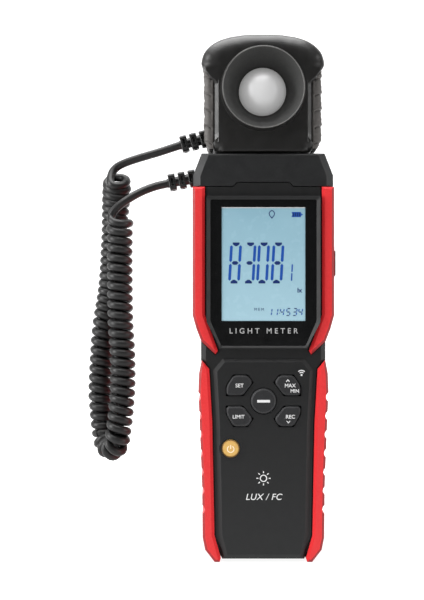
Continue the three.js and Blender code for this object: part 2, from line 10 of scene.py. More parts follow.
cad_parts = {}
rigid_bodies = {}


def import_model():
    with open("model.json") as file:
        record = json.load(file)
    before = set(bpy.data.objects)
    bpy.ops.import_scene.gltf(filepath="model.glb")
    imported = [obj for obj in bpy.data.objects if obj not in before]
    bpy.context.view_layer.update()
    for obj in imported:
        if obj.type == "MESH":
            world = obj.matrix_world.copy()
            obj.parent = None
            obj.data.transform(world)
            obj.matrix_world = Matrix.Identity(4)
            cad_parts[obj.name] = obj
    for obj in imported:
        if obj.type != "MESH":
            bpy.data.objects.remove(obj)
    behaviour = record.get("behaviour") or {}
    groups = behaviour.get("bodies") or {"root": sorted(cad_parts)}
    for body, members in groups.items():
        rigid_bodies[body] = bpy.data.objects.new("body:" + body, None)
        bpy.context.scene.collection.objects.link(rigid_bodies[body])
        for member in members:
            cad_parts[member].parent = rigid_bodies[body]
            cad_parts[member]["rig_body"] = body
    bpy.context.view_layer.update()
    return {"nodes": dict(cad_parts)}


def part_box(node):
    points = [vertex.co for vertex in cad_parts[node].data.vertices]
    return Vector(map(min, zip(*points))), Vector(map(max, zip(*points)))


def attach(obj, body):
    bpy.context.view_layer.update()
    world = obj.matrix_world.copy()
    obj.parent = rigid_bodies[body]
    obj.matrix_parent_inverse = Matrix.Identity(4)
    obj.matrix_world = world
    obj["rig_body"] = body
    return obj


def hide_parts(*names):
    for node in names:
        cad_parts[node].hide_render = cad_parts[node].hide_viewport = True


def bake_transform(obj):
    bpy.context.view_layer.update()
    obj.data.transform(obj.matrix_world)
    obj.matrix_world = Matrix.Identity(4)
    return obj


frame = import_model()

# ---- driving sizes, in metres

MM = 0.001
CAMERA_AT = (-0.021, -0.494, 0.107)
VIEW_ANGLE = math.radians(28.7)

WIRE_RADIUS = 0.0017
WIRE_SIDES = 14
HELIX_RADIUS = 0.0037
HELIX_PITCH = 0.0039
TURN_STEPS = 18
# How much wider the coil is at each end, and the turns over which that fades.
METER_END_LOOSE = (0.0004, 0.6, 1.6)
HEAD_END_LOOSE = (0.0008, 0.8, 7.0)
# The same for the very last turn at the head's end, where the lead comes out of it.
HEAD_END_FLARE = (0.0012, 0.35, 0.65)
# How far each end of the coil leans to the front, and over how many turns that fades.
METER_END_LEAN = (0.4, 3.0)
HEAD_END_LEAN = (0.72, 5.0)
# The turns that the head's end has more than the even pitch gives, and over how many of them.
HEAD_END_EXTRA = (3, 15.0)
# A lead's steps, which points of it and of the first turn are softened, and how many times.
LEAD_STEPS = 40
SOFTENED = (2, 48)
LEAD_SOFTENING = 6

# The cord's route, as the CAD source has it: each lead from its strain relief, then the coil's
# centre from the top of the front strand, round the loop and up the rear strand.
METER_LEAD = [
    (-0.0400, -0.0040, 0.1555), (-0.0456, -0.0048, 0.1541), (-0.0525, -0.0068, 0.1509),
    (-0.0588, -0.0084, 0.1466), (-0.0617, -0.0084, 0.1440),
]
HEAD_LEAD = [
    (-0.0354, 0.0010, 0.1720), (-0.0433, 0.0020, 0.1695), (-0.0529, 0.0034, 0.1669),
    (-0.0596, 0.0043, 0.1646), (-0.0632, 0.0044, 0.1622),
]
COIL = [
    (-0.0591, -0.0084, 0.1406), (-0.0592, -0.0084, 0.1220), (-0.0589, -0.0084, 0.0988),
    (-0.0581, -0.0084, 0.0850), (-0.0580, -0.0084, 0.0711), (-0.0588, -0.0084, 0.0600),
    (-0.0598, -0.0082, 0.0522), (-0.0608, -0.0063, 0.0471), (-0.0633, -0.0020, 0.0449),
    (-0.0658, 0.0023, 0.0471), (-0.0669, 0.0042, 0.0522), (-0.0678, 0.0044, 0.0606),
    (-0.0682, 0.0044, 0.0702), (-0.0668, 0.0044, 0.0938), (-0.0640, 0.0044, 0.1129),
    (-0.0628, 0.0044, 0.1319), (-0.0617, 0.0044, 0.1506), (-0.0612, 0.0044, 0.1588),
]

METER_RELIEF = {"at": (-0.0288, -0.004, 0.1578), "towards": (-10.1, 0, -2)}
HEAD_RELIEF = {"at": (-0.024, 0.001, 0.175), "towards": (-11.1, 0, -2.9)}

# ---- camera, light and floor

scene = bpy.context.scene


def linked(obj):
    scene.collection.objects.link(obj)
    return obj


def camera():
    data = bpy.data.cameras.new("camera")
    data.sensor_width = 36
    data.angle = VIEW_ANGLE
    data.clip_start = 0.01
    obj = linked(bpy.data.objects.new("camera", data))
    obj.location = CAMERA_AT
    obj.rotation_euler = (math.radians(90), 0, 0)
    scene.camera = obj


def softbox(name, at, target, size, power):
    data = bpy.data.lights.new(name, "AREA")
    data.shape = "RECTANGLE"
    data.size, data.size_y = size
    data.energy = power
    obj = linked(bpy.data.objects.new(name, data))
    obj.location = at
    aim = Vector(target) - Vector(at)
    obj.rotation_euler = aim.to_track_quat("-Z", "Y").to_euler()


def studio():
    softbox("light_top", (-0.08, 0.0, 0.95), (0, 0, 0.12), (0.9, 0.8), 15)
    softbox("light_left", (-0.95, -0.26, 0.32), (0, 0, 0.1), (0.35, 0.9), 13)
    softbox("light_right", (0.95, -0.24, 0.28), (0, 0, 0.1), (0.3, 0.8), 4.6)
    world = bpy.data.worlds.new("studio")
    world.use_nodes = True
    background = world.node_tree.nodes["Background"]
    background.inputs["Color"].default_value = (1, 1, 1, 1)
    background.inputs["Strength"].default_value = 0.15
    scene.world = world
    scene.view_settings.view_transform = "Standard"


camera()
studio()

# ---- node graphs of the looks


class Graph:
    """A material's node tree, with short calls for the nodes that the looks share."""

    def __init__(self, name):
        self.look = bpy.data.materials.new(name)
        self.look.use_nodes = True
        self.tree = self.look.node_tree
        self.shader = self.tree.nodes["Principled BSDF"]
        self.place = self.add("TexCoord").outputs["Object"]

    def add(self, kind, inputs=None, **settings):
        node = self.tree.nodes.new("ShaderNode" + kind)
        for key, value in settings.items():
            setattr(node, key, value)
        for key, value in (inputs or {}).items():
            self.put(node.inputs[key], value)
        return node

    def put(self, socket, value):
        if isinstance(value, bpy.types.NodeSocket):
            self.tree.links.new(value, socket)
        else:
            socket.default_value = value

    def noise(self, size, detail=2.0, place=None):
        """Soft noise from 0 to 1 whose blots are about size metres across."""
        inputs = {"Vector": place or self.place, "Scale": 1 / size, "Detail": detail}
        return self.add("TexNoise", inputs).outputs["Fac"]

    def ramp(self, value, low, high, to_low=0.0, to_high=1.0):
        inputs = {
            "Value": value, "From Min": low, "From Max": high,
            "To Min": to_low, "To Max": to_high,
        }
        return self.add("MapRange", inputs, clamp=True).outputs["Result"]

    def mix(self, share, a, b):
        node = self.add("Mix", data_type="RGBA")
        self.put(node.inputs[0], share)
        self.put(node.inputs[6], a)
        self.put(node.inputs[7], b)
        return node.outputs[2]

    def math(self, operation, a, b):
        node = self.add("Math", operation=operation)
        self.put(node.inputs[0], a)
        self.put(node.inputs[1], b)
        return node.outputs[0]

    def edges(self, radius):
        """1 along edges sharper than about radius, 0 on flat faces."""
        rounded = self.add("Bevel", {"Radius": radius}, samples=6).outputs["Normal"]
        normal = self.add("NewGeometry").outputs["Normal"]
        dot = self.add("VectorMath", operation="DOT_PRODUCT")
        self.put(dot.inputs[0], rounded)
        self.put(dot.inputs[1], normal)
        return self.ramp(dot.outputs["Value"], 0.995, 0.86)

    def surface(self, **values):
        """Puts a value or a socket on each named input of the shader, with _ for a space."""
        for name, value in values.items():
            self.put(self.shader.inputs[name.replace("_", " ")], value)

    def bump(self, height, depth):
        node = self.add("Bump", {"Height": height, "Distance": depth})
        self.surface(Normal=node.outputs["Normal"])


def grey(value):
    return (value, value, value, 1)


def shade(colour, factor):
    return tuple(min(1.0, c * factor) for c in colour) + (1.0,)


# The height below which moulded paints a look lighter with foot, as painted light.
PAINTED_LIGHT_HEIGHT = 0.085


def moulded(name, colour, roughness, grain=0.00035, depth=2e-5, wear_and_highlight=0.5, spread=0.18,
            edge=0.0004, wear_and_highlight_colour=None, foot=None, **fixed):
    """Moulded plastic or rubber: mottled colour, fine spark grain, edges lightened as wear and as
    painted highlight, and with foot a painted lightening low down.
    """
    graph = Graph(name)
    blot = graph.noise(0.018, 3)
    speck = graph.noise(grain * 2.2, 2)
    tone = graph.mix(blot, shade(colour, 1 - spread), shade(colour, 1 + spread))
    tone = graph.mix(graph.ramp(speck, 0.35, 0.75, 0, 0.22), tone, shade(colour, 1.9))
    # Painted light: with foot, the colour is made lighter towards the bottom, where the lower part
    # looks lit.
    if foot:
        rise = graph.add("SeparateXYZ", {"Vector": graph.place}).outputs["Z"]
        tone = graph.mix(graph.ramp(rise, 0.0, PAINTED_LIGHT_HEIGHT, 1, 0), tone, shade(colour, foot))
    # The edges are lightened partly as rubbed wear and partly as a painted highlight where they
    # catch the light.
    if wear_and_highlight:
        wear_and_highlight_mask = graph.math("MULTIPLY", graph.edges(edge), graph.ramp(blot, 0.2, 0.8, wear_and_highlight / 2, wear_and_highlight))
        tone = graph.mix(wear_and_highlight_mask, tone, wear_and_highlight_colour or shade(colour, 3.2))
    sheen = graph.ramp(graph.noise(0.004, 4), 0.25, 0.75, roughness - 0.07, roughness + 0.07)
    graph.surface(Base_Color=tone, Roughness=sheen, Specular_IOR_Level=0.35)
    graph.surface(**fixed)
    pebble = graph.add("TexVoronoi", {"Vector": graph.place, "Scale": 1 / grain})
    height = graph.math("ADD", pebble.outputs["Distance"], graph.noise(grain * 1.4, 3))
    graph.bump(height, depth)
    return graph.look


def printed(name, colour, roughness=0.5, spread=0.05, depth=6e-6):
    return moulded(name, colour, roughness, wear_and_highlight=0, spread=spread, depth=depth)


def dome_look():
    """Opal plastic under a satin coat, with a painted glow that lightens its shaded side."""
    graph = Graph("dome_opal")
    haze = graph.noise(0.006, 3)
    graph.surface(
        Base_Color=graph.mix(haze, (0.41, 0.41, 0.415, 1), (0.46, 0.46, 0.465, 1)),
        Roughness=graph.ramp(haze, 0.2, 0.8, 0.32, 0.42),
        Subsurface_Weight=0.25, Subsurface_Radius=(0.004, 0.004, 0.004),
        Coat_Weight=1.0, Coat_Roughness=0.33,
        # Painted light: the dome makes no light, its emission only lifts its shading.
        Emission_Color=(0.85, 0.85, 0.84, 1), Emission_Strength=0.30,
    )
    graph.bump(graph.noise(0.0006, 2), 1e-5)
    return graph.look


def lcd_look():
    """Backlit display glass: a pale blue that brightens downwards, with a fine cell grid."""
    graph = Graph("lcd_glass")
    low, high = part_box("lcd_panel")
    parts = graph.add("SeparateXYZ", {"Vector": graph.place})
    rise = graph.ramp(parts.outputs["Z"], low.z, high.z)
    tone = graph.mix(rise, (0.355, 0.545, 0.63, 1), (0.228, 0.395, 0.48, 1))
    tone = graph.mix(graph.ramp(graph.noise(0.012, 2), 0.3, 0.7, 0, 0.25), tone,
                     (0.32, 0.50, 0.58, 1))
    cells = graph.add("TexChecker", {"Vector": graph.place, "Scale": 1800.0})
    tone = graph.mix(graph.math("MULTIPLY", cells.outputs["Fac"], 0.05), tone,
                     (0.17, 0.32, 0.40, 1))
    sheen = graph.ramp(graph.noise(0.003), 0.3, 0.7, 0.2, 0.3)
    graph.surface(Base_Color=tone, Roughness=sheen, Specular_IOR_Level=0.25, Emission_Color=tone,
                  Emission_Strength=0.12)
    graph.bump(graph.noise(0.0009, 2), 4e-6)
    return graph.look


def metal_look(name, colour, roughness):
    """Metal brushed along the X and Y axes."""
    graph = Graph(name)
    stretch = graph.add("Mapping", {"Vector": graph.place, "Scale": (1, 1, 12)}).outputs["Vector"]
    brushed = graph.noise(0.0006, 4, stretch)
    graph.surface(
        Base_Color=graph.mix(brushed, shade(colour, 0.85), shade(colour, 1.08)),
        Roughness=graph.ramp(brushed, 0.3, 0.7, roughness - 0.08, roughness + 0.1),
        Metallic=1.0,
    )
    graph.bump(brushed, 1e-5)
    return graph.look


# The lightened edges of the looks are partly rubbed wear and partly painted highlight, most of all
# on the keys, the strain reliefs and the lens.
LOOKS = {
    # foot=2.4 paints the case lighter towards its bottom: painted light.
    "case": moulded("case_plastic", (0.0060, 0.0062, 0.0065), 0.50, wear_and_highlight=0.5, foot=2.4),
    "cap": moulded("cap_plastic", (0.0110, 0.0114, 0.0120), 0.48, wear_and_highlight=0.40),
    "head": moulded("head_plastic", (0.0085, 0.0081, 0.0077), 0.38, grain=0.0003, wear_and_highlight=0.6,
                    edge=0.0003, wear_and_highlight_colour=(0.10, 0.098, 0.092, 1), Specular_IOR_Level=0.5),
    # The bevel strips are coloured lighter than the head: a painted highlight on top of the light
    # their slope catches.
    "strip": moulded("head_strip_painted_highlight", (0.016, 0.0155, 0.015), 0.36, grain=0.0003, wear_and_highlight=0.2,
                     Specular_IOR_Level=0.6),
    # A light grey for the collar's crest: a painted highlight along the rim.
    "rim": moulded("collar_rim_painted_highlight", (0.125, 0.123, 0.119), 0.4, wear_and_highlight=0, depth=5e-6),
    # The dish's grey is lighter than the head's plastic as painted light, lifting the shade in the
    # recess.
    "dish": moulded("dish_plastic_painted_light", (0.034, 0.034, 0.033), 0.45, grain=0.0003, wear_and_highlight=0.3,
                    edge=0.0003),
    "red": moulded("bumper_rubber", (0.75, 0.030, 0.033), 0.46, depth=1.2e-5, wear_and_highlight=0.3,
                   spread=0.06, wear_and_highlight_colour=(0.5, 0.06, 0.07, 1)),
    # Darker reds for the bumpers' slanted edges: painted shade.
    "red_painted_shade": moulded("bumper_edge_painted_shade", (0.30, 0.012, 0.014), 0.46, depth=1.2e-5, wear_and_highlight=0,
                        spread=0.06),
    "red_lip_painted_shade": moulded("bumper_lip_painted_shade", (0.66, 0.018, 0.022), 0.55, depth=1.2e-5, wear_and_highlight=0,
                       spread=0.06, Specular_IOR_Level=0.2),
    "grip": moulded("grip_rubber", (0.086, 0.080, 0.076), 0.58, grain=0.0004, wear_and_highlight=0.3),
    "cord": moulded("cord_jacket", (0.012, 0.0118, 0.0118), 0.42, grain=0.0005,
                    depth=1e-5, wear_and_highlight=0),
    "relief": moulded("relief_rubber", (0.0095, 0.0095, 0.0095), 0.28, wear_and_highlight=0.8, depth=1e-5,
                      wear_and_highlight_colour=grey(0.10)),
    "key": moulded("key_rubber", (0.0155, 0.0157, 0.0170), 0.62, grain=0.00045, depth=4e-5,
                   wear_and_highlight=1.0, edge=0.0006, spread=0.12, wear_and_highlight_colour=(0.26, 0.26, 0.27, 1)),
    "amber": moulded("key_amber", (0.70, 0.41, 0.115), 0.55, grain=0.00045, depth=4e-5,
                     wear_and_highlight=0.4, spread=0.08, wear_and_highlight_colour=(0.95, 0.72, 0.35, 1)),
    "amber_dark": moulded("key_amber_edge", (0.16, 0.085, 0.022), 0.55, wear_and_highlight=0, spread=0.1),
    "lens": moulded("lens_black", (0.0025, 0.0027, 0.003), 0.14, grain=0.003, depth=1.5e-6,
                    wear_and_highlight=0.3, spread=0.3, wear_and_highlight_colour=(0.04, 0.04, 0.045, 1)),
    "print": printed("white_print", (0.78, 0.78, 0.78)),
    "cream": printed("cream_print", (0.95, 0.80, 0.58)),
    "grey_print": printed("grey_print", (0.42, 0.42, 0.42), spread=0.06),
    "ink": printed("lcd_ink", (0.010, 0.070, 0.34), 0.35, spread=0.15, depth=3e-6),
    "ink_dark": printed("lcd_ink_dark", (0.008, 0.026, 0.13), 0.35, spread=0.15, depth=3e-6),
    "dome": dome_look(),
    "lcd": lcd_look(),
    "steel": metal_look("screw_steel", (0.55, 0.56, 0.58), 0.32),
    "board": moulded("board_green", (0.012, 0.10, 0.035), 0.4, wear_and_highlight=0.2, depth=1e-5),
    "guide": moulded("light_guide", (0.78, 0.78, 0.74), 0.3, wear_and_highlight=0, depth=1e-5),
    "sensor": moulded("sensor_black", (0.008, 0.008, 0.011), 0.25, wear_and_highlight=0.3, depth=5e-6),
    "filter": moulded("filter_glass", (0.07, 0.27, 0.24), 0.12, wear_and_highlight=0.2, depth=2e-6),
    "wrap": moulded("cell_wrap", (0.045, 0.08, 0.19), 0.3, wear_and_highlight=0.2, depth=4e-6),
}

# ---- meshes


SHARP = 32


def piece(name, points, faces, look, body, replaces=(), sharp=SHARP, bevel=0.0):
    """A shaded mesh piece that rides on a body and stands for CAD nodes."""
    mesh = bpy.data.meshes.new(name)
    mesh.from_pydata([tuple(p) for p in points], [], faces)
    build = bmesh.new()
    build.from_mesh(mesh)
    bmesh.ops.recalc_face_normals(build, faces=build.faces)
    build.to_mesh(mesh)
    build.free()
    mesh.shade_smooth()
    mesh.set_sharp_from_angle(angle=math.radians(sharp))
    mesh.materials.append(LOOKS[look])
    obj = linked(bpy.data.objects.new(name, mesh))
    if bevel:
        edges = obj.modifiers.new("edges", "BEVEL")
        edges.width = bevel
        edges.segments = 3
        edges.limit_method = "ANGLE"
        edges.angle_limit = math.radians(sharp)
        edges.harden_normals = True
    if body:
        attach(obj, body)
    if replaces:
        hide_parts(*replaces)
    return obj


def refined(node, look, bevel=0.3 * MM, sharp=SHARP, move=None):
    """A CAD piece with flat faces joined, its edges softly rounded and its points moved by move."""
    merged = bmesh.new()
    merged.from_mesh(frame["nodes"][node].data)
    bmesh.ops.remove_doubles(merged, verts=merged.verts, dist=2e-6)
    bmesh.ops.dissolve_limit(
        merged, angle_limit=math.radians(0.6), verts=merged.verts, edges=merged.edges,
    )
    merged.verts.index_update()
    points = [move(v.co) if move else v.co.copy() for v in merged.verts]
    faces = [[v.index for v in f.verts] for f in merged.faces]
    merged.free()
    body = frame["nodes"][node]["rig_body"]
    return piece(f"{node}_skin", points, faces, look, body, [node], sharp, bevel)


def grid_faces(rows, columns, closed=True):
    """Quads between rows of columns points each; closed joins the last column to the first."""
    faces = []
    for row in range(rows - 1):
        for column in range(columns if closed else columns - 1):
            after = (column + 1) % columns
            faces.append((
                row * columns + column, row * columns + after,
                (row + 1) * columns + after, (row + 1) * columns + column,
            ))
    return faces


def capped(rows, columns):
    """grid_faces with both open ends filled."""
    first = list(range(columns))
    last = [(rows - 1) * columns + i for i in range(columns)]
    return [*grid_faces(rows, columns), first[::-1], last]


# ---- the cord


def smooth_curve(points, steps):
    """Points of a Catmull-Rom curve through the given points, steps to each stretch."""
    knots = [Vector(p) for p in points]
    knots = [2 * knots[0] - knots[1], *knots, 2 * knots[-1] - knots[-2]]
    made = []
    for a, b, c, d in zip(knots, knots[1:], knots[2:], knots[3:]):
        for i in range(steps):
            t = i / steps
            made.append(0.5 * (
                2 * b + (c - a) * t + (2 * a - 5 * b + 4 * c - d) * t * t
                + (3 * b - a - 3 * c + d) * t ** 3
            ))
    return [*made, knots[-2]]


def length_of(path):
    return sum((b - a).length for a, b in zip(path, path[1:]))


def evenly(path, count):
    """The path again as count + 1 points at equal distances."""
    step = length_of(path) / count
    made, walked, due = [path[0].copy()], 0.0, step
    for a, b in zip(path, path[1:]):
        stretch = (b - a).length
        while len(made) < count and walked + stretch >= due:
            made.append(a.lerp(b, (due - walked) / stretch))
            due += step
        walked += stretch
    return [*made, path[-1].copy()]


def frames_along(path, first_side):
    """(point, side, other side) at each point, turning as little as possible."""
    made, side = [], Vector(first_side)
    for i, point in enumerate(path):
        along = (path[min(i + 1, len(path) - 1)] - path[max(i - 1, 0)]).normalized()
        side = (side - along * side.dot(along)).normalized()
        made.append((point, side.copy(), side.cross(along)))
    return made


def fade(value, begin, end):
    """1 before begin, 0 past end, and a smooth fall between them."""
    t = min(1.0, max(0.0, (value - begin) / (end - begin)))
    return 1 - t * t * (3 - 2 * t)


def coiled_wire():
    """The centre line of the coil's wire: down the front strand and up the rear one."""
    axis = smooth_curve(COIL, 40)
    turns = round(length_of(axis) / HELIX_PITCH)
    stations = frames_along(evenly(axis, turns * TURN_STEPS), (-1, 0, 0))
    extra, extra_over = HEAD_END_EXTRA
    flare, flare_begin, flare_end = HEAD_END_FLARE
    wire = []
    for i, (centre, side, across) in enumerate(stations):
        from_start, from_end = i / TURN_STEPS, turns - i / TURN_STEPS
        near = min(from_start, from_end)
        at_meter = from_start < from_end
        lean, over = METER_END_LEAN if at_meter else HEAD_END_LEAN
        loose, begin, end = METER_END_LOOSE if at_meter else HEAD_END_LOOSE
        angle = 2 * math.pi * (from_start + extra * max(0.0, 1 - from_end / extra_over))
        radius = HELIX_RADIUS + loose * fade(near, begin, end)
        radius += flare * fade(from_end, flare_begin, flare_end)
        offset = radius * (math.cos(angle) * side + math.sin(angle) * across)
        offset.z += lean * max(0.0, 1 - near / over) * offset.y
        wire.append(centre + offset)
    return wire


def lead_into(lead, wire):
    """The lead and the wire as one line; the lead's last stretch bends into the first turn."""
    lead = evenly(smooth_curve([*lead, *wire[:3]], 10), LEAD_STEPS)
    joined = [*lead[:-1], *wire[2:]]
    first, last = SOFTENED
    for _ in range(LEAD_SOFTENING):
        joined[first:last] = [
            (joined[i - 1] + joined[i] + joined[i + 1]) / 3 for i in range(first, last)
        ]
    return joined


def around(centre, side, across, sides, radius_at):
    """Points round a centre, as far from it as radius_at says for each angle."""
    angles = [2 * math.pi * i / sides for i in range(sides)]
    return [centre + radius_at(a) * (math.cos(a) * side + math.sin(a) * across) for a in angles]


def cord_side(name, path, body, replaces):
    """One side of the cord; without a body its mesh is baked into world space and rides on no body.
    """
    points = []
    for centre, side, across in frames_along(path, (0, 0, 1)):
        points += around(centre, side, across, WIRE_SIDES, lambda a: WIRE_RADIUS)
    faces = capped(len(path), WIRE_SIDES)
    cord = piece(name, points, faces, "cord", body, replaces, sharp=60)
    if not body:
        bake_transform(cord)
    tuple(path[0])
    length_of(path)


# A strain relief's core at its root and tip, its length, and its square ribs along it.
RELIEF_CORE, RELIEF_TIP, RELIEF_LENGTH = 2.3 * MM, 1.9 * MM, 11 * MM
RELIEF_RIBS = [(-1.0 * MM, 1.95 * MM), (3.25 * MM, 6.15 * MM), (7.45 * MM, 10.35 * MM)]
RELIEF_HALF = 3.5 * MM
RELIEF_SIDES = 64
# A rib's edge, and the slot in each of its sides: where it starts, half its angle, its floor.
RIB_EDGE = 0.25 * MM
SLOT_START, SLOT_HALF, SLOT_FLOOR = 0.9 * MM, 0.42, 0.3 * MM


def inside_relief(relief):
    """The point in a strain relief where the visible wire begins."""
    along = Vector(relief["towards"]).normalized()
    return Vector(relief["at"]) + along * (RELIEF_LENGTH - 2.5 * MM)


def relief_radius(angle, along):
    """Outer radius of a strain relief: square ribs with a slot in each side, on a thin core."""
    core = RELIEF_CORE + (RELIEF_TIP - RELIEF_CORE) * along / RELIEF_LENGTH
    for start, end in RELIEF_RIBS:
        if not start <= along <= end:
            continue
        size = abs(math.cos(angle)) ** 5 + abs(math.sin(angle)) ** 5
        square = RELIEF_HALF * size ** -0.2
        inner = min(along - start, end - along)
        sideways = abs((angle + math.pi / 4) % (math.pi / 2) - math.pi / 4)
        if inner > SLOT_START and sideways < SLOT_HALF:
            return core + SLOT_FLOOR
        return square - max(0.0, RIB_EDGE - inner)
    return core


def strain_relief(name, place, node, body):
    """A ribbed grommet round the cord where it leaves a housing."""
    along = Vector(place["towards"]).normalized()
    side = (Vector((0, 0, 1)) - along * along.z).normalized()
    across = side.cross(along)
    tiny = 0.01 * MM
    stations = [-3 * MM]
    for start, end in RELIEF_RIBS:
        stations += [start - tiny, start, start + RIB_EDGE, start + SLOT_START]
        stations += [start + SLOT_START + 2 * tiny, end - SLOT_START - 2 * tiny]
        stations += [end - SLOT_START, end - RIB_EDGE, end, end + tiny]
    stations = sorted(s for s in set(stations + [RELIEF_LENGTH]) if s <= RELIEF_LENGTH)
    points = []
    for station in stations:
        points += around(Vector(place["at"]) + along * station, side, across, RELIEF_SIDES,
                         lambda a, station=station: relief_radius(a, station))
    faces = capped(len(stations), RELIEF_SIDES)
    piece(name, points, faces, "relief", body, [node], sharp=30)


strain_relief("meter_relief", METER_RELIEF, "meter_strain_relief", "meter")
strain_relief("head_relief", HEAD_RELIEF, "head_strain_relief", "sensor_head")

wire = coiled_wire()
middle = len(wire) // 2
meter_path = lead_into([inside_relief(METER_RELIEF), *METER_LEAD], wire[:middle + 1])
head_path = lead_into([inside_relief(HEAD_RELIEF), *HEAD_LEAD], wire[middle:][::-1])
cord_side("cord_meter_side", meter_path, "meter", ["cord_lead_meter", "cord_coil_front"])
cord_side("cord_head_side", head_path, None, ["cord_lead_head", "cord_coil_rear"])

# ---- outlines and plates


def mirrored(half):
    """A whole outline, counter-clockwise, from the points of its right half from the bottom up."""
    return [*half, *[(-x, z) for x, z in reversed(half)]]


def corner_cut(outline, rounds):
    """The closed outline with its corners cut again and again, which rounds them."""
    for _ in range(rounds):
        pairs = zip(outline, [*outline[1:], outline[0]])
        outline = [
            (a[0] + (b[0] - a[0]) * t, a[1] + (b[1] - a[1]) * t)
            for a, b in pairs for t in (0.25, 0.75)
        ]
    return outline


def dense(outline, step):
    """The closed outline with points at most step apart."""
    made = []
    for a, b in zip(outline, [*outline[1:], outline[0]]):
        count = max(1, math.ceil(math.dist(a, b) / step))
        made += [(a[0] + (b[0] - a[0]) * i / count, a[1] + (b[1] - a[1]) * i / count)
                 for i in range(count)]
    return made


def soft_corners(outline, radius):
    """The closed outline in which each corner is an arc that starts radius before it."""
    made = []
    for i, corner in enumerate(outline):
        before, after = Vector(outline[i - 1]), Vector(outline[(i + 1) % len(outline)])
        point = Vector(corner)
        near = min(radius, (before - point).length / 2.1, (after - point).length / 2.1)
        start = point + (before - point).normalized() * near
        end = point + (after - point).normalized() * near
        for t in (0, 0.25, 0.5, 0.75, 1):
            made.append(tuple((1 - t) ** 2 * start + 2 * t * (1 - t) * point + t * t * end))
    return made


def slab(name, loops, front, back, look, replaces=(), bevel=0.0):
    """A flat piece of the meter between two depths, from its outline and those of its holes."""
    build = bmesh.new()
    edges = []
    for loop in loops:
        corners = [build.verts.new((x, front, z)) for x, z in loop]
        edges += [build.edges.new(pair) for pair in zip(corners, [*corners[1:], corners[0]])]
    bmesh.ops.triangle_fill(build, edges=edges, use_beauty=True)
    if bevel:
        bmesh.ops.dissolve_limit(build, angle_limit=0.01, verts=build.verts, edges=build.edges)
    pushed = bmesh.ops.extrude_face_region(build, geom=build.faces[:])
    moved = [v for v in pushed["geom"] if isinstance(v, bmesh.types.BMVert)]
    bmesh.ops.translate(build, verts=moved, vec=(0, back - front, 0))
    build.verts.index_update()
    points = [v.co.copy() for v in build.verts]
    # Sorted, because the extrusion makes its side faces in another order from run to run.
    faces = sorted([v.index for v in f.verts] for f in build.faces)
    build.free()
    piece(name, points, faces, look, "meter", replaces, bevel=bevel)


def in_metres(outline):
    return [(x * MM, z * MM) for x, z in outline]


# ---- case, cap and bumpers

refined("front_case", "case", 0.35 * MM, sharp=20)
refined("rear_case", "case", 0.35 * MM)
refined("battery_door", "case")
for node in ("side_key", "key_set", "key_limit", "key_max_min", "key_record", "key_enter"):
    refined(node, "key")
refined("key_power", "amber")

CAP_FRONT, CAP_SHOULDER, CAP_TOP, CAP_NARROWING = -15.0 * MM, 163.5 * MM, 166.4 * MM, 22.4 / 23.25


def tall_face(point):
    """Carries the cap's front face up to a narrow top edge."""
    if point.y > CAP_FRONT or point.z < CAP_SHOULDER:
        return point.copy()
    return Vector((point.x * CAP_NARROWING, point.y, CAP_TOP))


refined("top_cap", "cap", 0.4 * MM, move=tall_face)

# The inner edges of the right-hand bumpers, in millimetres, from the top down.
UPPER_INNER = [(23.6, 153.2), (23.6, 101), (18.3, 86.4)]
LOWER_INNER = [(25, 82.6), (21.9, 79), (20.6, 57), (20, 32), (19.7, 11), (17.1, 1.6), (17.6, 0)]
BUMPER_FRONT = -16.0 * MM
# The gap along the case, the width of the slope beside it and how far the inner edge is raised;
# then how far back from the front the gap, the raised edge and the slopes reach.
SEAM_CUT, LIP_EDGE, LIP_RAISE = 0.3 * MM, 1.0 * MM, 0.42 * MM
SEAM_DEPTH, LIP_DEPTH, SLOPE_DEPTH = 4 * MM, 1.2 * MM, 1.5 * MM


def away_from(point, line):
    """How far a point (x, z) is from a line of points, and the line's outward way there."""
    best = None
    for a, b in zip(line, line[1:]):
        a, b = Vector(a), Vector(b)
        t = min(1.0, max(0.0, (point - a).dot(b - a) / (b - a).length_squared))
        way = point - (a + (b - a) * t)
        if best is None or way.length < best[0]:
            outward = Vector((-(b - a).y, (b - a).x)).normalized()
            best = (way.length, outward if outward.x > 0 else -outward)
    return best


def lipped(line):
    """Moves a bumper's inner edge away from the case, and the edge of its front face with it."""
    def move(point):
        side = 1 if point.x > 0 else -1
        gap, outward = away_from(Vector((abs(point.x), point.z)), in_metres(line))
        on_edge = gap < 0.05 * MM
        on_face = abs(gap - LIP_EDGE) < 0.12 * MM and point.y < BUMPER_FRONT + 0.1 * MM
        if point.y > BUMPER_FRONT + SEAM_DEPTH or not (on_edge or on_face):
            return point
        shift = SEAM_CUT * (1.0 if on_edge else 1.5)
        raised = LIP_RAISE if on_edge and point.y < BUMPER_FRONT + LIP_DEPTH else 0.0
        return Vector((
            point.x + side * outward.x * shift, point.y - raised, point.z + outward.y * shift,
        ))
    return move


def bumper(name, line):
    """A rubber bumper whose slanted edges get darker reds as painted shade: a little darker along
    the case and where they face up, much darker elsewhere outside.
    """
    obj = refined(name, "red", 0.25 * MM, sharp=17, move=lipped(line))
    obj.data.materials.append(LOOKS["red_lip_painted_shade"])
    obj.data.materials.append(LOOKS["red_painted_shade"])
    # Painted shade: slopes along the case and those facing up get the lip red, the other outer
    # slopes the darker edge red.
    for face in obj.data.polygons:
        gap, _ = away_from(Vector((abs(face.center.x), face.center.z)), in_metres(line))
        if 0.3 < -face.normal.y < 0.95 and face.center.y < BUMPER_FRONT + SLOPE_DEPTH:
            face.material_index = 1 if gap < 1.2 * LIP_EDGE or face.normal.z > 0.3 else 2


for side in ("left", "right"):
    bumper(f"upper_bumper_{side}", UPPER_INNER)
    bumper(f"lower_bumper_{side}", LOWER_INNER)

# ---- display

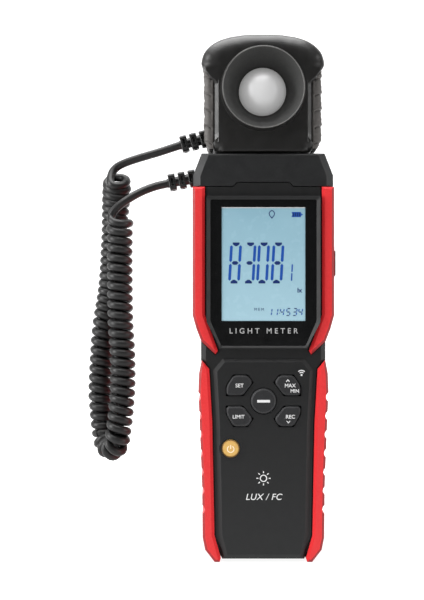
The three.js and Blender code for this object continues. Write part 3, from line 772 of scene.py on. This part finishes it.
# The right half of the lens's outline and of the window, in millimetres.
LENS_HALF = [(17.2, 88.2), (21.8, 98.4), (21.8, 148.1)]
WINDOW_HALF, WINDOW_LOW, WINDOW_HIGH = 17.1, 98.4, 144.9
LENS_FRONT, LENS_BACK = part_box("display_lens")[0].y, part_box("display_lens")[1].y
LCD_FRONT = LENS_FRONT + 0.22 * MM


def window(inset, low, high):
    """A rectangle as wide as the window, less an inset at each side."""
    half = WINDOW_HALF - inset
    return [(half, low), (half, high), (-half, high), (-half, low)]


opening = soft_corners(window(0, WINDOW_LOW, WINDOW_HIGH), 0.35)
glass = soft_corners(window(0.05, WINDOW_LOW + 0.05, WINDOW_HIGH - 0.05), 0.35)
# A thin white strip along the top of the window stands for the bright line of light there: a
# painted highlight.
glow = window(0.1, WINDOW_HIGH - 0.42, WINDOW_HIGH - 0.08)
slab("display_frame", [in_metres(soft_corners(mirrored(LENS_HALF), 1.0)), in_metres(opening)],
     LENS_FRONT, LENS_BACK, "lens", ["display_lens"])
slab("lcd_face", [in_metres(glass)], LCD_FRONT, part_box("lcd_panel")[1].y, "lcd",
     ["lcd_panel"], bevel=0.06 * MM)
slab("lcd_painted_highlight", [in_metres(glow)], LCD_FRONT - 0.03 * MM, LCD_FRONT + 0.2 * MM, "print")


def ribbon(points, width, closed=False):
    """The outline, in millimetres, of a line of that width through the points."""
    line = [Vector(p) for p in points]
    left, right = [], []
    for i, point in enumerate(line):
        before = line[i - 1] if i or closed else None
        after = line[(i + 1) % len(line)] if i + 1 < len(line) or closed else None
        ways = [w.normalized() for w in (
            point - before if before else None, after - point if after else None) if w]
        along = sum(ways, Vector((0, 0))).normalized()
        side = Vector((-along.y, along.x))
        reach = width / 2 / max(0.4, side.dot(Vector((-ways[0].y, ways[0].x))))
        left.append(tuple(point + side * reach))
        right.append(tuple(point - side * reach))
    return left, right


def stroke(points, width):
    """One open line of that width as a list that holds its outline."""
    left, right = ribbon(points, width)
    return [left + right[::-1]]


def ring(points, width):
    """One closed line of that width as a quad for each of its sides."""
    left, right = ribbon(points, width, closed=True)
    count = len(points)
    return [
        [left[i], left[(i + 1) % count], right[(i + 1) % count], right[i]] for i in range(count)
    ]


def prints(name, outlines, front, depth, look, body):
    """Thin raised marks, one for each outline in millimetres, made as one mesh."""
    points, faces = [], []
    for outline in outlines:
        count, first = len(outline), len(points)
        points += [(x * MM, front - depth, z * MM) for x, z in outline]
        points += [(x * MM, front + 0.05 * MM, z * MM) for x, z in outline]
        faces.append([first + i for i in range(count)])
        faces.append([first + count + i for i in reversed(range(count))])
        for i in range(count):
            after = (i + 1) % count
            faces.append([first + i, first + after, first + count + after, first + count + i])
    piece(name, points, faces, look, body)


def rim(name, inner, outer, section):
    """A raised edge between two outlines; section has (share of the way out, y) of its points."""
    rows = [
        [Vector(a).lerp(Vector(b), share) for a, b in zip(inner, outer)] for share, _ in section
    ]
    points = [(p.x * MM, y * MM, p.y * MM) for row, (_, y) in zip(rows, section) for p in row]
    count = len(inner)
    faces = grid_faces(len(section), count)
    last = (len(section) - 1) * count
    faces += [(last + i, last + (i + 1) % count, (i + 1) % count, i) for i in range(count)]
    piece(name, points, faces, "case", "meter", sharp=12)


RIM_INNER = [(17.15, 88.3), (21.65, 98.4), (21.65, 147.95)]
RIM_OUTER = [(17.7, 87.5), (23.3, 98.1), (23.3, 149.5)]
RIM_SECTION = [(0, -15.9), (0, -16.13), (0.88, -17.1), (0.97, -17.05), (1, -14.9)]
rim("display_rim", soft_corners(mirrored(RIM_INNER), 0.8), soft_corners(mirrored(RIM_OUTER), 0.8),
    RIM_SECTION)


# Segments a to g of a digit, as the corners of a unit cell that each one joins.
SEGMENTS = {
    "a": ((0, 1), (1, 1)), "b": ((1, 1), (1, 0.5)), "c": ((1, 0.5), (1, 0)), "d": ((0, 0), (1, 0)),
    "e": ((0, 0.5), (0, 0)), "f": ((0, 1), (0, 0.5)), "g": ((0, 0.5), (1, 0.5)),
}
# How far the upper and lower corners of the top and bottom segments are from their tips.
LEVEL_ENDS = {"a": (0.0, 0.7), "d": (0.7, 0.0)}
DIGITS = {
    "0": "abcdef", "1": "bc", "3": "abcdg", "4": "bcfg", "5": "acdfg", "8": "abcdefg",
}


def digit(text, x, z, width, height, thick, slant, level):
    """The level or the upright segments of one lit digit, as outlines with pointed ends."""
    made = []
    for name in DIGITS[text]:
        if (name in "adg") != level:
            continue
        (u0, v0), (u1, v1) = SEGMENTS[name]
        a = Vector((x + u0 * width + slant * v0 * height, z + v0 * height))
        b = Vector((x + u1 * width + slant * v1 * height, z + v1 * height))
        along = (b - a).normalized()
        side = Vector((-along.y, along.x)) * thick / 2
        a, b = a + along * thick * 0.3, b - along * thick * 0.3
        upper, lower = (along * thick * LEVEL_ENDS.get(name, (0.5, 0.5))[i] for i in (0, 1))
        made.append([tuple(p) for p in (
            a, a + upper + side, b - upper + side, b, b - lower - side, a + lower - side,
        )])
    return made


# The big reading, the small digit after it and the clock under it, as (text, left edges, foot,
# digit width, height, thickness of the level and of the upright segments, slant).
NUMBERS = [
    ("8308", (-13.9, -8.0, -2.5, 3.4), 114.5, 3.7, 15.2, (1.5, 1.12), 0.058),
    ("1", (10.4,), 114.6, 1.0, 7.2, (0.55, 0.55), 0.05),
    ("114534", (1.7, 4.1, 6.6, 9.2, 11.9, 14.1), 100.7, 1.4, 2.8, (0.42, 0.42), 0.16),
]


def lit_segments(level):
    """The level or the upright segments of all the digits."""
    marks = []
    for text, places, foot, width, height, (level_thick, upright_thick), slant in NUMBERS:
        thick = level_thick if level else upright_thick
        for figure, x in zip(text, places):
            marks += digit(figure, x, foot, width, height, thick, slant, level)
    return marks


def arc(x, z, radius, start, end, count):
    """Points on a circle round (x, z), from one angle to another in degrees."""
    angles = [math.radians(start + (end - start) * i / count) for i in range(count + 1)]
    return [(x + radius * math.cos(a), z + radius * math.sin(a)) for a in angles]


def lcd_signs():
    """The lamp and battery signs at the top and the colon of the clock."""
    marks = stroke([(6.55, 101.5), (6.6, 101.8)], 0.3)
    marks += stroke([(6.8, 102.6), (6.85, 102.9)], 0.3)
    marks += ring([(3.4, 140.4), (2.5, 141.5), (2.3, 142.4), (2.75, 143.2), (3.4, 143.45),
                   (4.05, 143.2), (4.5, 142.4), (4.3, 141.5)], 0.36)
    for i in range(4):
        marks += stroke([(12.15 + 0.85 * i, 141.1), (12.15 + 0.85 * i, 142.6)], 0.5)
    return marks


BATTERY = [
    (11.4, 140.8), (15.2, 140.8), (15.3, 141.3), (16.1, 141.85), (15.3, 142.4), (15.2, 142.9),
    (11.4, 142.9), (11.8, 141.85),
]

prints("lcd_uprights", lit_segments(False), LCD_FRONT, 0.04 * MM, "ink", "meter")
prints("lcd_levels", lit_segments(True), LCD_FRONT, 0.04 * MM, "ink_dark", "meter")
prints("lcd_battery", [BATTERY], LCD_FRONT, 0.02 * MM, "ink", "meter")
prints("lcd_signs", lcd_signs(), LCD_FRONT, 0.04 * MM, "ink_dark", "meter")


def lettering(name, text, x, z, height, front, look, body, bold=0.0, spacing=1.0,
              slant=0.0):
    """Raised printed letters, centred on (x, z) in millimetres, facing the front."""
    data = bpy.data.curves.new(name, "FONT")
    data.body = text
    data.align_x, data.align_y = "CENTER", "CENTER"
    data.size = height * MM / 0.72
    data.extrude = 0.03 * MM
    data.offset = bold * MM
    data.space_character = spacing
    data.shear = slant
    data.materials.append(LOOKS[look])
    obj = linked(bpy.data.objects.new(name, data))
    obj.rotation_euler = (math.radians(90), 0, 0)
    obj.location = (x * MM, front, z * MM)
    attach(obj, body)


lettering("lcd_unit", "lx", 14.7, 110.9, 1.9, LCD_FRONT, "ink_dark", "meter",
          bold=0.07)
lettering("lcd_memory", "MEM", -1.8, 103.1, 1.15, LCD_FRONT, "ink_dark", "meter",
          spacing=1.5)
lettering("lens_title", "LIGHT METER", 0, 94.3, 2.2, LENS_FRONT, "grey_print",
          "meter", bold=0.02, spacing=1.62)

# ---- key legends and panel marks

KEY_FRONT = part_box("key_set")[0].y
PANEL_FRONT = -15.9 * MM
LEGEND_BOLD = 0.03
POWER_AT = (-13.4, 46.5)
WAVES_AT = (15.5, 76.4)
SUN_HEIGHT = 34.3

for name, text, x, z, height, key in [
    ("legend_set", "SET", -9.8, 72.1, 1.55, "key_set"),
    ("legend_limit", "LIMIT", -10.2, 59.4, 1.5, "key_limit"),
    ("legend_max", "MAX", 10.8, 72.1, 1.5, "key_max_min"),
    ("legend_min", "MIN", 12.7, 69.9, 1.45, "key_max_min"),
    ("legend_record", "REC", 10.9, 59.4, 1.55, "key_record"),
]:
    lettering(name, text, x, z, height, KEY_FRONT, "print", key, LEGEND_BOLD)
for name, points, width, key in [
    ("legend_up", [(9.2, 73.7), (9.9, 74.5), (10.6, 73.7)], 0.32, "key_max_min"),
    ("legend_down", [(9.4, 57.8), (10.1, 57.0), (10.8, 57.8)], 0.32, "key_record"),
    ("legend_enter", [(-2.6, 65.8), (2.6, 65.8)], 1.05, "key_enter"),
]:
    prints(name, stroke(points, width), KEY_FRONT, 0.03 * MM, "print", key)
prints("legend_power", [
    *stroke(arc(-13.4, 46.3, 1.35, 122, 418, 18), 0.4),
    *stroke([(-13.4, 48.0), (-13.4, 46.4)], 0.4),
], KEY_FRONT, 0.03 * MM, "cream", "key_power")
prints("power_edge", ring(arc(*POWER_AT, 3.46, 0, 350, 35), 0.3), KEY_FRONT, 0.02 * MM,
       "amber_dark", "key_power")
prints("power_ring", ring(arc(*POWER_AT, 4.3, 0, 350, 35), 0.8), PANEL_FRONT, 0.02 * MM,
       "lens", "meter")


def panel_marks():
    """A wireless sign at the panel's corner and a lamp sign above the units."""
    marks = [arc(*WAVES_AT, 0.42, 0, 315, 7)]
    for radius in (1.1, 1.9):
        marks += stroke(arc(*WAVES_AT, radius, 48, 132, 8), 0.4)
    marks += ring(arc(0, SUN_HEIGHT, 1.3, 0, 342, 19), 0.42)
    for angle in range(0, 360, 45):
        a = math.radians(angle)
        marks += stroke([(r * math.cos(a), SUN_HEIGHT + r * math.sin(a)) for r in (2.1, 2.9)], 0.4)
    return marks


prints("panel_marks", panel_marks(), PANEL_FRONT, 0.03 * MM, "print", "meter")
lettering("panel_units", "LUX / FC", 0, 26.6, 2.6, PANEL_FRONT, "print", "meter",
          bold=0.02, spacing=1.05, slant=0.22)

# ---- sensor head

# Sizes in millimetres; the outline is that of the head's right half, from the bottom up.
HEAD_HALF = [
    (18.6, 167.6), (20.8, 169.4), (21.5, 172.4), (21.5, 198.8), (25.4, 203.0), (25.4, 206.8),
    (24.0, 210.3), (19.6, 214.0), (14.0, 215.9), (7, 216.9),
]
HEAD_FRONT, HEAD_WALL = -13.0, 2.0
dome_low, dome_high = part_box("diffuser_dome")
DISH_Z = (dome_low.z + dome_high.z) / 2 / MM
RIM = 16.6
# The collar's section from its foot over the rim, as (radius over RIM, y), and the dish's from
# there down to the dome and back behind itself, as (radius, y).
COLLAR = [
    (0.95, HEAD_FRONT), (0.8, HEAD_FRONT - 0.4), (0.5, -16), (0.36, -17.55), (0.28, -17.85),
    (0.12, -18), (-0.1, -18), (-0.25, -17.85), (-0.4, -17.5),
]
DISH = [
    (15.2, -14.9), (13.9, -12.4), (12.5, -9.7), (11.2, -7.2), (10.7, -6.2), (10.2, -5.7),
    (10.0, -5.5), (10.6, -5.35), (13.6, -8.4), (15.4, -11.2),
]
# The front edge's rounding as (inset, depth) at the foot, beside the grips, where it is a flat
# slope, and on the crown, and how small it is at the corners under the crown.
FOOT_ROUND, SIDE_SLOPE, CROWN_ROUND, CORNER_ROUND = (1.3, 1.3), (3.0, 2.8), (7.5, 5.0), 0.6
SHOULDER = (200.5, 207.5)
ROUND_STEPS = 8
# A flat bevel between each grip and the head's face, from the section's front corner round.
STRIP_SECTION = [(18.3, -13.08), (20.3, -11.32), (20.3, -10.3), (18.3, -12.0)]
STRIP_LOW, STRIP_HIGH, STRIP_END = 171.7, 197.6, 0.25
# The shoulders' part beyond SHOULDER_X narrows by HEAD_DRAFT from a depth over a distance.
SHOULDER_X, HEAD_DRAFT, DRAFT_FROM, DRAFT_OVER = 20, 0.2, -9, 22


def head_rounding(x, z):
    """(inset, depth) in millimetres of the front edge's rounding at a point of the outline."""
    rho = math.hypot(x, z - DISH_Z)
    if abs(x) < 18 and z < 172:
        return FOOT_ROUND
    if z < STRIP_HIGH:
        return SIDE_SLOPE[0] * rho / abs(x), SIDE_SLOPE[1]
    high = 1 - fade(z, *SHOULDER)
    widest = min(CROWN_ROUND[0], rho - RIM - 1.2)
    return CORNER_ROUND + high * (widest - CORNER_ROUND), CORNER_ROUND + high * CROWN_ROUND[1]


def drafted(x, y):
    """Narrows the head's shoulders towards the back."""
    share = min(1.0, max(0.0, (y - DRAFT_FROM) / DRAFT_OVER))
    beyond = abs(x) - SHOULDER_X
    return x if beyond < 0 else math.copysign(SHOULDER_X + beyond * (1 - HEAD_DRAFT * share), x)


def head_profile(rho, z, inset, depth):
    """The front shell's section, as (radius, y), on one radius of the dish that is rho long."""
    profile = [(rho - HEAD_WALL, -0.2), (rho, -0.2), (rho, -4), (rho, HEAD_FRONT + depth)]
    for step in range(1, ROUND_STEPS + 1):
        inward = forward = step / ROUND_STEPS
        if z > STRIP_HIGH or z < 171:
            turn = math.pi / 2 * forward
            inward, forward = 1 - math.cos(turn), math.sin(turn)
        profile.append((rho - inset * inward, HEAD_FRONT + depth * (1 - forward)))
    collar = [(RIM + over, y) for over, y in COLLAR]
    flat = rho - inset
    face = [(flat + (collar[0][0] - flat) * share, HEAD_FRONT) for share in (0.34, 0.67)]
    return [*profile, *face, *collar, *DISH]


def head_front_shell():
    """Face, collar and dish in one, from sections on the radii of the dish."""
    outline = dense(corner_cut(dense(mirrored(HEAD_HALF), 6), 2), 0.7)
    count = len(outline)
    sizes = [head_rounding(x, z) for x, z in outline]
    columns = []
    for i, (x, z) in enumerate(outline):
        near = [sizes[(i + k) % count] for k in range(-2, 3)]
        inset, depth = (sum(values) / len(near) for values in zip(*near))
        columns.append(head_profile(math.hypot(x, z - DISH_Z), z, inset, depth))
    points = []
    for row in range(len(columns[0])):
        for (x, z), profile in zip(outline, columns):
            rho = math.hypot(x, z - DISH_Z)
            radius, y = profile[row]
            points.append((
                drafted(x / rho * radius, y) * MM, y * MM,
                (DISH_Z + (z - DISH_Z) / rho * radius) * MM,
            ))
    skin = piece("head_front_skin", points, grid_faces(len(columns[0]), count), "head",
                 "sensor_head", ["head_front_shell"], sharp=28)
    # The dish look, lighter than the head's, goes on the faces inside the rim as painted light
    # against the shade there.
    skin.data.materials.append(LOOKS["dish"])
    # The rim look, a light grey, goes on the collar's crest as a painted highlight.
    skin.data.materials.append(LOOKS["rim"])
    for face in skin.data.polygons:
        rho = math.hypot(face.center.x, face.center.z - DISH_Z * MM) / MM
        if rho < RIM - 0.3 and face.center.y < -5.6 * MM:
            face.material_index = 1
        elif rho < RIM + 0.13 and face.center.y < -17.9 * MM:
            face.material_index = 2


def draft_shoulders(point):
    return Vector((drafted(point.x / MM, point.y / MM) * MM, point.y, point.z))


def head_strip(side, name):
    """The bevel beside one grip, sunk at its two ends."""
    rows = [STRIP_LOW, STRIP_LOW + STRIP_END, STRIP_HIGH - STRIP_END, STRIP_HIGH]
    points = []
    for row, z in enumerate(rows):
        sunk = STRIP_END if row in (0, 3) else 0.0
        points += [(side * x * MM, (y + sunk) * MM, z * MM) for x, y in STRIP_SECTION]
    piece(name, points, capped(len(rows), len(STRIP_SECTION)), "strip",
          "sensor_head", sharp=20)


head_front_shell()
refined("head_rear_shell", "head", 0.4 * MM, move=draft_shoulders)
head_strip(-1, "head_strip_left")
head_strip(1, "head_strip_right")

# A grip's section, its foot and slanted top, its ribs, of which each rises over the share
# RIB_RISE of the pitch and falls by RIB_FALL, and the taper of its foot.
GRIP_PROFILE = [
    (20.3, -11.2), (20.45, -11.75), (21.2, -12.15), (22.5, -12.1), (23.6, -11.5), (24.2, -10.5),
    (24.5, -9.0), (24.5, -4.5), (24.5, 0), (24.4, 4.5), (24.3, 9.0), (24.0, 10.2), (23.3, 11.0),
    (22.3, 11.5), (21.2, 11.6), (20.4, 11.4), (20.3, 11.0), (21.9, 9.6), (21.9, -9.6),
]
GRIP_LOW, GRIP_HIGH, GRIP_SLOPE = 169.3, 197.4, 1.15
GRIP_INSIDE, GRIP_WIDTH, GRIP_ROWS = 20.3, 4.2, 140
RIB_PITCH, RIB_FIRST, RIB_DEPTH, RIB_BEND = 6.65, 178.4, 0.8, 0.22
RIB_RISE, RIB_FALL, LINE_DEPTH = 0.16, 0.55, 0.16
FOOT_TAPER, TAPER_POWER, TAPER_SHARE = 7.5, 2.9, 0.52


def rib_height(across, z):
    """How far a grip stands out, from 0 to 1: overlapping curved ribs with finer lines on them."""
    bent = (z - RIB_FIRST) / RIB_PITCH + RIB_BEND * (1 - across) ** 2
    turn = bent % 1.0
    if turn < RIB_RISE:
        body = 1 - fade(turn, 0.0, RIB_RISE)
    else:
        body = 1 - RIB_FALL * (turn - RIB_RISE) / (1 - RIB_RISE)
    return body - LINE_DEPTH * (0.5 + 0.5 * math.cos(6 * math.pi * bent))


def head_grip(side, name):
    """One ribbed grip, as sections from its foot to its slanted top."""
    section = [Vector((p.x, p.y)) for p in smooth_curve([(*p, 0) for p in GRIP_PROFILE], 4)]
    hidden_x = GRIP_INSIDE - 0.05
    points = []
    for row in range(GRIP_ROWS + 1):
        v = row / GRIP_ROWS
        end = 1 - fade(min(v, 1 - v), 0.0, 0.02)
        for i, flat in enumerate(section):
            way = section[(i + 1) % len(section)] - section[i - 1]
            outward = Vector((-way.y, way.x)).normalized() * -1
            top = GRIP_HIGH + (flat.x - GRIP_INSIDE) * GRIP_SLOPE
            z = GRIP_LOW + v * (top - GRIP_LOW)
            across = min(1.0, max(0.0, (flat.x - GRIP_INSIDE) / GRIP_WIDTH))
            corner = max(0.0, 1 - (z - GRIP_LOW) / FOOT_TAPER) ** TAPER_POWER
            outside = fade(-flat.x, -21.2, -20.6) if abs(flat.y) > 10 else float(flat.x > 22)
            sunk = RIB_DEPTH * (rib_height(across, z) - 1) * end - 0.5 * (1 - end)
            x, y = flat + outward * sunk * outside * (1 - 0.5 * corner)
            x = hidden_x + (x - hidden_x) * (1 - TAPER_SHARE * corner)
            points.append((side * x * MM, y * MM, z * MM))
    piece(f"{name}_skin", points, capped(GRIP_ROWS + 1, len(section)), "grip",
          "sensor_head", [name], sharp=50)


head_grip(-1, "head_grip_left")
head_grip(1, "head_grip_right")


DOME_RADIUS, DOME_BASE, DOME_FOOT, DOME_SIDES = 9.8, -6.0, -4.6, 96


def dome():
    """The diffuser: a half ball on a short straight foot, turned about the dish's axis."""
    profile = [(8.4, DOME_FOOT), (DOME_RADIUS, DOME_FOOT)]
    for angle in range(0, 89, 4):
        a = math.radians(angle)
        profile.append((DOME_RADIUS * math.cos(a), DOME_BASE - DOME_RADIUS * math.sin(a)))
    profile.append((0.01, DOME_BASE - DOME_RADIUS))
    points = []
    for radius, y in profile:
        for i in range(DOME_SIDES):
            a = 2 * math.pi * i / DOME_SIDES
            points.append((
                radius * math.cos(a) * MM, y * MM, (DISH_Z + radius * math.sin(a)) * MM,
            ))
    piece("dome_skin", points, grid_faces(len(profile), DOME_SIDES), "dome",
          "sensor_head", ["diffuser_dome"], sharp=40)


dome()

# ---- pieces shown as the CAD has them

INNER_LOOKS = {
    "lcd_backlight": "guide", "main_board": "board", "key_mat": "grip", "buzzer": "sensor",
    "battery_1": "wrap", "battery_2": "wrap", "battery_3": "wrap", "light_filter": "filter",
    "photodiode": "sensor", "sensor_board": "board", "diffuser_ring": "head",
}
for node, obj in frame["nodes"].items():
    if not obj.hide_render:
        obj.data.materials.clear()
        obj.data.materials.append(LOOKS[INNER_LOOKS.get(node, "steel")])

# ---- the floor

# Where along Y the floor turns from dim to bright, then to plain paper and to a brighter wall.
FRONT_FADE = (-0.14, -0.10)
BACK_FADE = (0.04, 0.25)
WALL_FADE = (0.25, 0.6)
SWEEP_START, SWEEP_RADIUS = 1.2, 0.6


def floor():
    """A plain pale sweep: the floor that the meter stands on, curving up far behind it."""
    profile = [(-2.0, 0.0), (SWEEP_START, 0.0)]
    for angle in range(5, 91, 5):
        a = math.radians(angle)
        profile.append((
            SWEEP_START + SWEEP_RADIUS * math.sin(a), SWEEP_RADIUS - SWEEP_RADIUS * math.cos(a),
        ))
    profile.append((SWEEP_START + SWEEP_RADIUS, 3.0))
    points = [(x, y, z) for y, z in profile for x in (-3, 3)]
    mesh = bpy.data.meshes.new("floor")
    mesh.from_pydata(points, [], [(i, i + 1, i + 3, i + 2) for i in range(0, len(points) - 2, 2)])
    mesh.shade_smooth()
    graph = Graph("floor_paper")
    depth = graph.add("SeparateXYZ", {"Vector": graph.place}).outputs["Y"]
    lit = graph.ramp(depth, *FRONT_FADE)
    far = graph.ramp(depth, *BACK_FADE)
    paper = graph.mix(graph.noise(0.3), grey(0.93), grey(0.95))
    tone = graph.mix(lit, grey(0.50), grey(0.12))
    glow = graph.mix(lit, grey(0.1), grey(0.92))
    glow = graph.mix(far, glow, grey(0.3))
    glow = graph.mix(graph.ramp(depth, *WALL_FADE), glow, grey(0.6))
    graph.surface(Base_Color=graph.mix(far, tone, paper), Roughness=0.9, Emission_Color=grey(1),
                  Emission_Strength=glow)
    mesh.materials.append(graph.look)
    linked(bpy.data.objects.new("floor", mesh))


floor()
